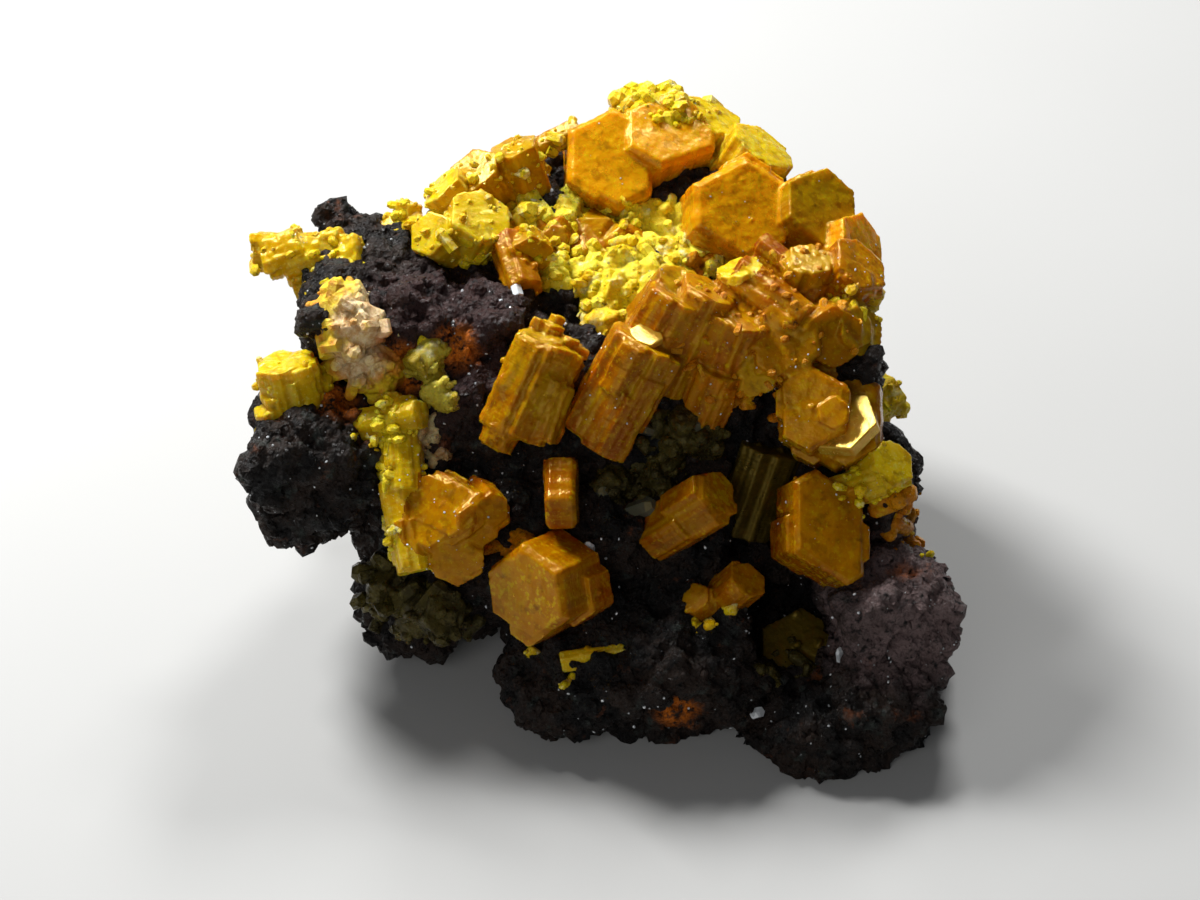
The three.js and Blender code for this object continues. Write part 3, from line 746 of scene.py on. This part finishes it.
# The left end: a wing of flat lemon prisms that stand out over it, and a small lemon block low on its flank.
# Both are uneven and root in the rock by one end.
wing = grow("left_wing", [lemon], [
    ((-11.9, 7.8, 4.6), (1, -0.05, 0.1), 0.75, 4.0, 0, 0),
    ((-10.8, 7.3, 4.4), (0.9, 0.3, 0.3), 0.8, 3.2, 0, 0),
], [
    ((-12.6, 7.9, 4.6), (0.9, 0.3, 0.1), 0.85, 1.7, 10, 0),
    ((-11.4, 8.1, 4.6), (0.9, 0.1, 0.3), 0.55, 2.4, 20, 0),
], lumps=0.35, seed=50)
block = grow("left_block", [lemon], [
    ((-12.4, 2.3, 1.9), (-0.2, 0.9, 0.4), 1.2, 2.8, 0, 0),
    ((-11.8, 2.3, 2.1), (0.4, 0.6, 0.6), 0.7, 2.2, 0, 0),
], [
    ((-12.9, 1.2, 1.9), (-0.3, 0.8, 0.5), 0.7, 1.6, 0, 0),
    ((-11.6, 1.6, 1.9), (0.1, 0.9, 0.3), 0.6, 1.6, 0, 0),
], slips=9, reach=0.3, lumps=0.35, seed=55)

# The shaded crystals: an olive prism in the hollow under the ridge and another deep below it, both of the
# same mineral and rooted in the rock. Their olive finish is a darker copy of the crystal finish: painted
# shade for the shade they stand in.
OLIVE_DARK = (0.035, 0.024, 0.003, 1)
OLIVE_BODY = (0.085, 0.058, 0.006, 1)
OLIVE_RIM = (0.20, 0.12, 0.01, 1)
olive = mimetite_finish("olive_crystal", OLIVE_DARK, OLIVE_BODY, OLIVE_RIM, 0.2, 0.3, 0.4)
grow("shaded_prism", [olive], [
    ((6.2, -1.5, 3.2), (0.3, 0.9, 0.3), 1.2, 3.8, 0, 0),
], seed=70)
grow("deep_crystal", [olive], [
    ((7.6, -8.3, 5), (0.1, 0.4, 0.9), 1.3, 3.6, 0, 0),
], seed=71)

# The crystals at the foot: two small orange ones in a hollow of the rock, and a thin lemon blade that lies
# on it under the front tablet.
grow("foot_crystals", [amber], [
    ((5.2, -5.8, 1.6), (0.5, 0.5, 0.7), 0.8, 2.8, 0, 0),
    ((4.3, -6.3, 1.7), (-0.5, 0.5, 0.7), 0.6, 2.0, 0, 0),
], seed=72)
grow("foot_blade", [lemon], [
    ((0.1, -8.2, 0.9), (0.98, 0.15, 0.1), 0.4, 3.4, 0, 0),
], slips=4, seed=75)

# The yellow column: a knobbly crust between the top left crust and the ridge, lemon with cream tips and dark
# specks. It is the same mineral as a thick growth of very small crystals: a fused bed of stubby ones, with
# sharp ones standing all over it.
CRUST_VOXEL = 0.07
CRUST_RELIEF = (0.6, 0.12, 0.5)  # size of its forms, how far it moves the skin, the level that stays
BED_SHARE = 3  # one crystal is fused in the bed for so many sharp ones
SHARP_SHARE = 0.7  # the size of the sharp ones beside those of the bed
SPARE_SPOTS = 12  # spots drawn for each one wanted, where only those near a place are kept
CRUST_GLOSS = (1.0, 0.85, 0.4, 1)
CRUST_GLOW_DEPTH = 0.3
CREVICE_SHADE_BROWN = (0.20, 0.08, 0.002, 1)
SPECK_BLACK = (0.02, 0.016, 0.012, 1)


def crust_finish(name, deep, body, tip):
    """Drusy crust: `deep` and `body` in clouds, `tip` in pale patches, painted shade in its crevices and
    black specks.
    """
    drusy = Finish(name)
    colour = drusy.mix(drusy.ramp(drusy.noise(1.1, 5, 0.65, 0.2), 0.38, 0.62), deep, body)
    colour = drusy.over(colour, tip, drusy.ramp(drusy.noise(0.7, 5, 0.7, 0.8), 0.54, 0.68), 0.7)
    # Painted shade: the colour is darkened towards brown where the skin dips into crevices.
    crevice_shade = drusy.mix(0.25, colour, CREVICE_SHADE_BROWN)
    colour = drusy.mix(drusy.ramp(drusy.raised(), 0.40, 0.50), crevice_shade, colour)
    speck = drusy.ramp(drusy.noise(0.28, 4, 0.65, 1.3), 0.60, 0.68)
    drusy.shade("Base Color", drusy.over(colour, SPECK_BLACK, speck, 0.75))
    drusy.shade("Subsurface Weight", 0.25)
    drusy.shade("Subsurface Radius", (1.0, 0.5, 0.08))
    drusy.shade("Subsurface Scale", CRUST_GLOW_DEPTH * MM)
    drusy.shade("Transmission Weight", 0.25)
    drusy.shade("IOR", CRYSTAL_IOR)
    drusy.shade("Specular IOR Level", 0.3)
    drusy.shade("Specular Tint", CRUST_GLOSS)
    shine, tilt = drusy.facets(0.14)
    drusy.shade("Roughness", drusy.scaled(shine, 0.08, 0.6))
    drusy.shade("Normal", drusy.bump(tilt, 0.02, drusy.bump(drusy.noise(0.3, 5, 0.7), 0.10)))
    return drusy.material


def studded(bed, name, finish, studs, sizes, seed, middle=None, radius=0):
    """Small sharp crystals that stand on a piece's skin, all over it or within a radius of a place."""
    dice = random.Random(seed)
    spots = spots_on(bed, studs, dice)
    if middle is not None:
        around = spots_on(bed, studs * SPARE_SPOTS, dice)
        spots = [spot for spot in around if (spot[0] - middle).length < radius][:studs]
    piece = strewn(name, stud, spots, sizes, dice, along=True, sink=0.5)
    keep_in_box(piece)
    piece.data.materials.append(finish)
    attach(piece, "root")


def encrust(node, finish, studs, sizes, seed):
    """A packed crust as a fused bed of stubby crystals, with sharp ones all over it."""
    dice = random.Random(seed)
    piece = take_up(node, node + "_bed")
    spots = spots_on(piece, studs // BED_SHARE, dice)
    grown = strewn("studs", stud, spots, sizes, dice, along=True, sink=0.6)
    work_on(piece)
    grown.select_set(True)
    bpy.ops.object.join()
    reskin(piece, CRUST_VOXEL)
    relief(piece, "CLOUDS", *CRUST_RELIEF)
    keep_in_box(piece)
    work_on(piece)
    bpy.ops.object.shade_smooth()
    piece.data.materials.clear()
    piece.data.materials.append(finish)
    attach(piece, "root")
    sharp = (sizes[0] * SHARP_SHARE, sizes[1] * SHARP_SHARE)
    studded(piece, node + "_studs", finish, studs, sharp, seed)


lemon_crust = crust_finish(
    "lemon_crust", (0.70, 0.42, 0.001, 1), (0.84, 0.67, 0.01, 1), (0.92, 0.88, 0.45, 1),
)
encrust("yellow_column", lemon_crust, 60, (0.2, 0.8), 61)

# The broken plate: a crust on the left shoulder that broke across. It is granular and cream-pink where it
# broke, lemon on its rims, and rusty where it meets the rock.
BREAK_PINK = (0.50, 0.28, 0.10, 1)
BREAK_CREAM = (0.84, 0.70, 0.42, 1)
UPPER_BREAK = (-9.2, 5.2, 1.2)
LOWER_BREAK = (-9.6, 3.6, 1.2)
PLATE_FOOT = (-8.2, 4.2, 1.0)


def plate_finish():
    plate = Finish("broken_plate")
    grain = plate.noise(0.35, 5, 0.75, 0.3)
    broken = plate.mix(plate.ramp(grain, 0.35, 0.65), BREAK_PINK, BREAK_CREAM)
    rim = plate.mix(plate.ramp(plate.noise(0.9, 4, 0.6), 0.4, 0.6), GOLD, LEMON)
    upper = plate.near(seen(*UPPER_BREAK), 1.5, 0.4)
    lower = plate.near(seen(*LOWER_BREAK), 1.1, 0.4)
    colour = plate.over(rim, broken, plate.maths("MAXIMUM", upper, lower), 0.9)
    rust = plate.near(seen(*PLATE_FOOT), 0.7, 0.4)
    plate.shade("Base Color", plate.mix(rust, colour, RUST))
    plate.shade("Subsurface Weight", 0.2)
    plate.shade("Subsurface Radius", (1.0, 0.5, 0.1))
    plate.shade("Subsurface Scale", CRUST_GLOW_DEPTH * MM)
    plate.shade("Roughness", plate.scaled(grain, 0.25, 0.8))
    plate.shade("Normal", plate.bump(grain, 0.2))
    return plate.material


encrust("broken_plate", plate_finish(), 110, (0.15, 0.7), 65)

# The dull crusts: a yellow-green sprig on the shoulder, and crust painted nearly black olive as painted
# shade, in the shaded hollow under the ridge and under the left end of the rock.
sprig_crust = crust_finish("sprig_crust", (0.34, 0.24, 0.01, 1), (0.60, 0.50, 0.05, 1), (0.85, 0.82, 0.50, 1))
shade_dark_olive_crust = crust_finish(
    "shade_dark_olive_crust", (0.016, 0.012, 0.003, 1), (0.05, 0.038, 0.006, 1), (0.14, 0.12, 0.04, 1),
)
encrust("shoulder_sprig", sprig_crust, 60, (0.12, 0.4), 68)
encrust("hollow_crust", shade_dark_olive_crust, 60, (0.2, 0.7), 66)
encrust("underside_crust", shade_dark_olive_crust, 50, (0.25, 0.9), 76)

# The groups on the far sides, which the main view doesn't show: amber crust on the back of the rock, and
# lemon crust on its right and left flanks, made like the crusts that are seen.
amber_crust = crust_finish("amber_crust", AMBER, GOLD, LEMON)
encrust("back_crystals", amber_crust, 90, (0.3, 0.6), 77)
encrust("right_crystals", lemon_crust, 60, (0.25, 0.55), 78)
encrust("left_side_crystals", lemon_crust, 60, (0.25, 0.5), 79)

# The small crystals on the large ones: sharp lemon, pale and amber ones that stand on the top left crust, the
# lemon bar, the wing, the left block, the knobs, the summit's crest and the ridge, half sunk in them.
BAR_STRETCHES = [(-8.3, 1.0, 1.1), (-7.9, -1.0, 1.0), (-7.7, -3.4, 1.1)]  # across, up, radius
pale_crust = crust_finish("pale_crust", (0.80, 0.56, 0.005, 1), (0.90, 0.79, 0.05, 1), (0.93, 0.90, 0.55, 1))
studded(top_left, "top_left_studs", lemon_crust, 320, (0.08, 0.4), 81)
for stretch, (across, up, radius) in enumerate(BAR_STRETCHES):
    studded(
        rosette, f"bar_studs_{stretch}", pale_crust, 90, (0.08, 0.42), 82 + stretch,
        seen(across, up, 1.2), radius,
    )
studded(wing, "wing_studs", lemon_crust, 60, (0.08, 0.35), 83)
studded(block, "block_studs", lemon_crust, 40, (0.08, 0.3), 84)
for bed, name, slot, finish, studs, sizes, seed, place, radius in (
    (lower_right, "knob_studs", "yellow_crystal", lemon_crust, 60, (0.1, 0.4), 85, (10.4, -1.2, 1.0), 1.8),
    (summit, "crest_studs", "yellow_crystal", lemon_crust, 150, (0.15, 0.6), 86, (2.6, 13.6, 9.6), 2.4),
    (ridge, "ridge_studs", "amber_crystal", amber_crust, 220, (0.06, 0.34), 87, (6.4, 5.2, 1.4), 4.2),
    (ridge, "ridge_end_studs", "yellow_crystal", lemon_crust, 80, (0.1, 0.5), 88, (9.9, 5.6, 2.4), 1.8),
):
    studded(bed, name, finish, studs, sizes, seed, seen(*place), radius)

# The bright dust on the crystals: crumbs of clear druse that lie on their faces, each too small to show
# anything but its glint, which is partly painted glint in their grey and white.
GLINT_SIZES = (0.015, 0.055)
for bed, count in ((rosette, 120), (ridge, 260), (top_left, 90), (summit, 90), (wing, 20), (lower_right, 50)):
    dice = random.Random(count)
    glints = strewn(bed.name + "_glints", chip, spots_on(bed, count, dice), GLINT_SIZES, dice, sink=0)
    keep_in_box(glints)
    glints.data.materials.append(druse_and_painted_glint)
    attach(glints, "root")

# The two faces that glare: a clean plate on top of the front ridge prism and one on the ledge beside the
# stepped tablet, each a smooth, clear tablet of the same mineral that cuts into the crystals it grew on.
PLATE_ROLL = 12
PLATE_RIM = 0.06
CLEAN_PLATES = [
    # place seen, heading seen, half width, thickness
    ((1.85, 4.55, -0.8), BACK_GLARE, 0.62, 0.3),
    ((9.75, 1.0, 0.1), KEY_GLARE, 1.3, 0.6),
]
clean = mimetite_finish("clean_face", GOLD, LEMON, BUTTER, 0.3, 0.2, 0.5)
clean_shader = clean.node_tree.nodes["Principled BSDF"]
clean_shader.inputs["Specular IOR Level"].default_value = 1.0
clean_shader.inputs["IOR"].default_value = 2.1
for number, (place, face, wide, thick) in enumerate(CLEAN_PLATES):
    bpy.ops.object.select_all(action="DESELECT")
    add_prism(Vector((0, 0, 0)), turned(heading(*face), PLATE_ROLL), wide, thick)
    plate = bpy.context.object
    plate.name = f"clean_plate_{number}"
    bpy.ops.object.transform_apply(location=True, rotation=True, scale=True)
    bpy.ops.object.mode_set(mode="EDIT")
    bpy.ops.mesh.select_all(action="SELECT")
    bpy.ops.mesh.bevel(offset=PLATE_RIM * MM, segments=2)
    bpy.ops.transform.translate(value=seen(*place) * MM)
    bpy.ops.object.mode_set(mode="OBJECT")
    plate.data.materials.append(clean)
    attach(plate, "root")

# The thin patches of crust: small crystals that stand on the rock where the main view shows them, between the
# large crystals and round their feet, fused where they touch, with sharp ones on them.
PATCH_VOXEL = 0.08
PATCH_SHARP = (0.7, 0.6)  # the sizes of the sharp ones beside the smallest and largest of the bed


def on_rock(across, up):
    """Where the line from the eye through a point of the picture plane meets the rock, and how that faces."""
    to = (seen(across, up, 0) - EYE).normalized()
    place, facing, _, _ = rock_tree.ray_cast(EYE * MM, to)
    return None if place is None else (place / MM, facing)


def patch(name, finish, ovals, sizes, seed):
    """Small crystals on the rock inside ovals of the main view. An oval is (across, up, half width, half
    height, count)."""
    dice = random.Random(seed)
    spots = []
    for across, up, half_width, half_height, count in ovals:
        for _ in range(count):
            angle = dice.uniform(0, math.tau)
            out = math.sqrt(dice.random())
            spot = on_rock(
                across + half_width * out * math.cos(angle),
                up + half_height * out * math.sin(angle),
            )
            if spot is not None:
                spots.append(spot)
    bed = strewn(name, stud, spots, sizes, dice, along=True, sink=0.4)
    reskin(bed, PATCH_VOXEL)
    keep_in_box(bed)
    work_on(bed)
    bpy.ops.object.shade_smooth()
    bed.data.materials.append(finish)
    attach(bed, "root")
    sharp = (sizes[0] * PATCH_SHARP[0], sizes[1] * PATCH_SHARP[1])
    studded(bed, name + "_studs", finish, len(spots), sharp, seed)


cream_crust = crust_finish("cream_crust", (0.30, 0.14, 0.05, 1), (0.74, 0.60, 0.30, 1), (0.90, 0.84, 0.60, 1))
patch("saddle_druse", pale_crust, [
    (0.6, 8.8, 3.6, 1.1, 260),
    (3.2, 7.6, 1.8, 0.9, 100),
    (0.9, 6.6, 1.3, 2.0, 150),
    (-4.6, 9.6, 2.2, 1.6, 120),
    (-1.6, 7.5, 1.2, 0.9, 60),
], (0.12, 0.8), 62)
patch("ridge_druse", amber_crust, [
    (5.2, 7.2, 2.4, 0.9, 90),
    (5.2, 3.2, 1.4, 1.2, 40),
    (8.4, 7.4, 1.6, 0.9, 60),
    (12.4, -2.9, 1.4, 1.3, 30),
    (-4.0, -3.6, 0.9, 0.9, 12),
], (0.12, 0.7), 63)
patch("left_druse", lemon_crust, [
    (-12.2, 6.7, 1.2, 0.6, 14),
    (-9.4, 0.6, 0.9, 0.8, 16),
    (-7.0, 3.9, 0.5, 0.6, 7),
    (-6.6, 2.5, 0.6, 0.7, 8),
    (4.3, -6.3, 1.0, 0.9, 14),
    (-1.2, -9.2, 0.3, 0.3, 3),
    (12.9, -3.2, 0.8, 1.2, 16),
    (-2.6, -8.0, 0.5, 0.4, 4),
], (0.1, 0.42), 64)
patch("cream_druse", cream_crust, [
    (-7.0, 0.2, 1.0, 0.8, 70),
    (-9.6, 4.6, 1.6, 1.0, 40),
    (-7.2, 1.2, 0.6, 0.4, 14),
], (0.08, 0.34), 91)
# Painted shade: nearly black olive crust on the rock where it lies in shade, in the hollows and under its
# ends.
patch("dark_druse_painted_shade", shade_dark_olive_crust, [
    (2.0, -1.4, 1.8, 1.0, 50),
    (2.2, 0.6, 0.9, 1.0, 24),
    (7.4, -8.2, 1.6, 1.3, 24),
    (-7.2, -6.6, 2.4, 1.0, 40),
    (-2.2, -4.4, 1.2, 0.4, 8),
], (0.12, 0.5), 67)

# The flat faces in the shaded hollow: small tablets half sunk in the rock, turned nearly towards the front.
# Their dark olive-grey is painted: the shade of the hollow, with a painted grey reflection on their faces.
HOLLOW_TABLETS = [(0.0, -1.6), (1.0, -1.1), (2.2, -1.6), (1.6, -2.4), (1.9, 0.8), (2.6, 0.2), (3.6, 1.0)]
HOLLOW_SIZES = (0.3, 0.55)
HOLLOW_DARK = (0.05, 0.045, 0.02, 1)
HOLLOW_BODY = (0.10, 0.095, 0.06, 1)
HOLLOW_RIM = (0.17, 0.17, 0.12, 1)
shade_and_sheen_grey = mimetite_finish("hollow_crystal_painted_shade_and_sheen", HOLLOW_DARK, HOLLOW_BODY, HOLLOW_RIM, 0.2, 0.3, 0.4)
dice = random.Random(90)
hollow_spots = []
for place in HOLLOW_TABLETS:
    spot = on_rock(*place)
    if spot is not None:
        hollow_spots.append((spot[0], heading(dice.uniform(-0.3, 0.3), dice.uniform(0.1, 0.6), 0.9)))
tablets = strewn("hollow_tablets", stud, hollow_spots, HOLLOW_SIZES, dice, along=True, sink=0)
tablets.data.materials.append(shade_and_sheen_grey)
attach(tablets, "root")

# The clear crystals: a few small, nearly colourless ones that catch the light, half sunk in the rock and in
# its hollows. Their grey and white is painted glint.
CLEAR_SIZES = (0.3, 0.3)
CLEAR_PLACES = [
    (-3.32, 6.32),
    (-3.24, 6.68),
    (-0.4, -4.0),
    (6.28, -10.52),
    (9.6, -8.2),
    (-2.4, 10.6),
    (-2.8, 9.8),
]
dice = random.Random(80)
clear_spots = [spot for spot in (on_rock(*place) for place in CLEAR_PLACES) if spot is not None]
clear_ones = strewn("clear_crystals", stud, clear_spots, CLEAR_SIZES, dice, sink=0)
clear_ones.data.materials.append(druse_and_painted_glint)
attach(clear_ones, "root")
for model in (chip, stud):
    bpy.data.objects.remove(model)

# The floor that it stands on for its picture: a plain sheet of pale paper, which is stage and no part of it.
FLOOR_SIZE = 4
PAPER_SHADE = (0.35, 0.35, 0.342, 1)
PAPER_LIGHT = (0.38, 0.38, 0.372, 1)
bpy.ops.object.select_all(action="DESELECT")
bpy.ops.mesh.primitive_plane_add(size=FLOOR_SIZE, location=(0, 0, 0))
floor = bpy.context.object
floor.name = "floor"
paper = Finish("pale_floor")
paper.shade("Base Color", paper.mix(paper.noise(30, 3, 0.5), PAPER_SHADE, PAPER_LIGHT))
paper.shade("Roughness", 0.8)
floor.data.materials.append(paper.material)

# The light: three soft boxes aimed at the middle of the specimen, the strongest from the left and behind, a
# weak one from the front and one from behind, and a faint cool light from all round.
AIM_HEIGHT = 8
STUDIO_COLOUR = (0.9, 0.93, 1, 1)
STUDIO_STRENGTH = 0.08
SOFT_BOXES = [
    # name, place, size, watts
    ("key_light", (-80, 70, 125), 42, 0.52),
    ("fill_light", (-60, -140, 90), 110, 0.08),
    ("back_light", (30, 120, 140), 40, 0.26),
]
for name, place, size, watts in SOFT_BOXES:
    aim = Vector((0, 0, AIM_HEIGHT)) - Vector(place)
    bpy.ops.object.light_add(
        type="AREA",
        location=Vector(place) * MM,
        rotation=aim.to_track_quat("-Z", "Y").to_euler(),
    )
    soft_box = bpy.context.object
    soft_box.name = name
    soft_box.data.size = size * MM
    soft_box.data.energy = watts

world = bpy.data.worlds.new("studio")
bpy.context.scene.world = world
world.use_nodes = True
world.node_tree.nodes["Background"].inputs["Color"].default_value = STUDIO_COLOUR
world.node_tree.nodes["Background"].inputs["Strength"].default_value = STUDIO_STRENGTH

bpy.context.scene.view_settings.view_transform = "Standard"
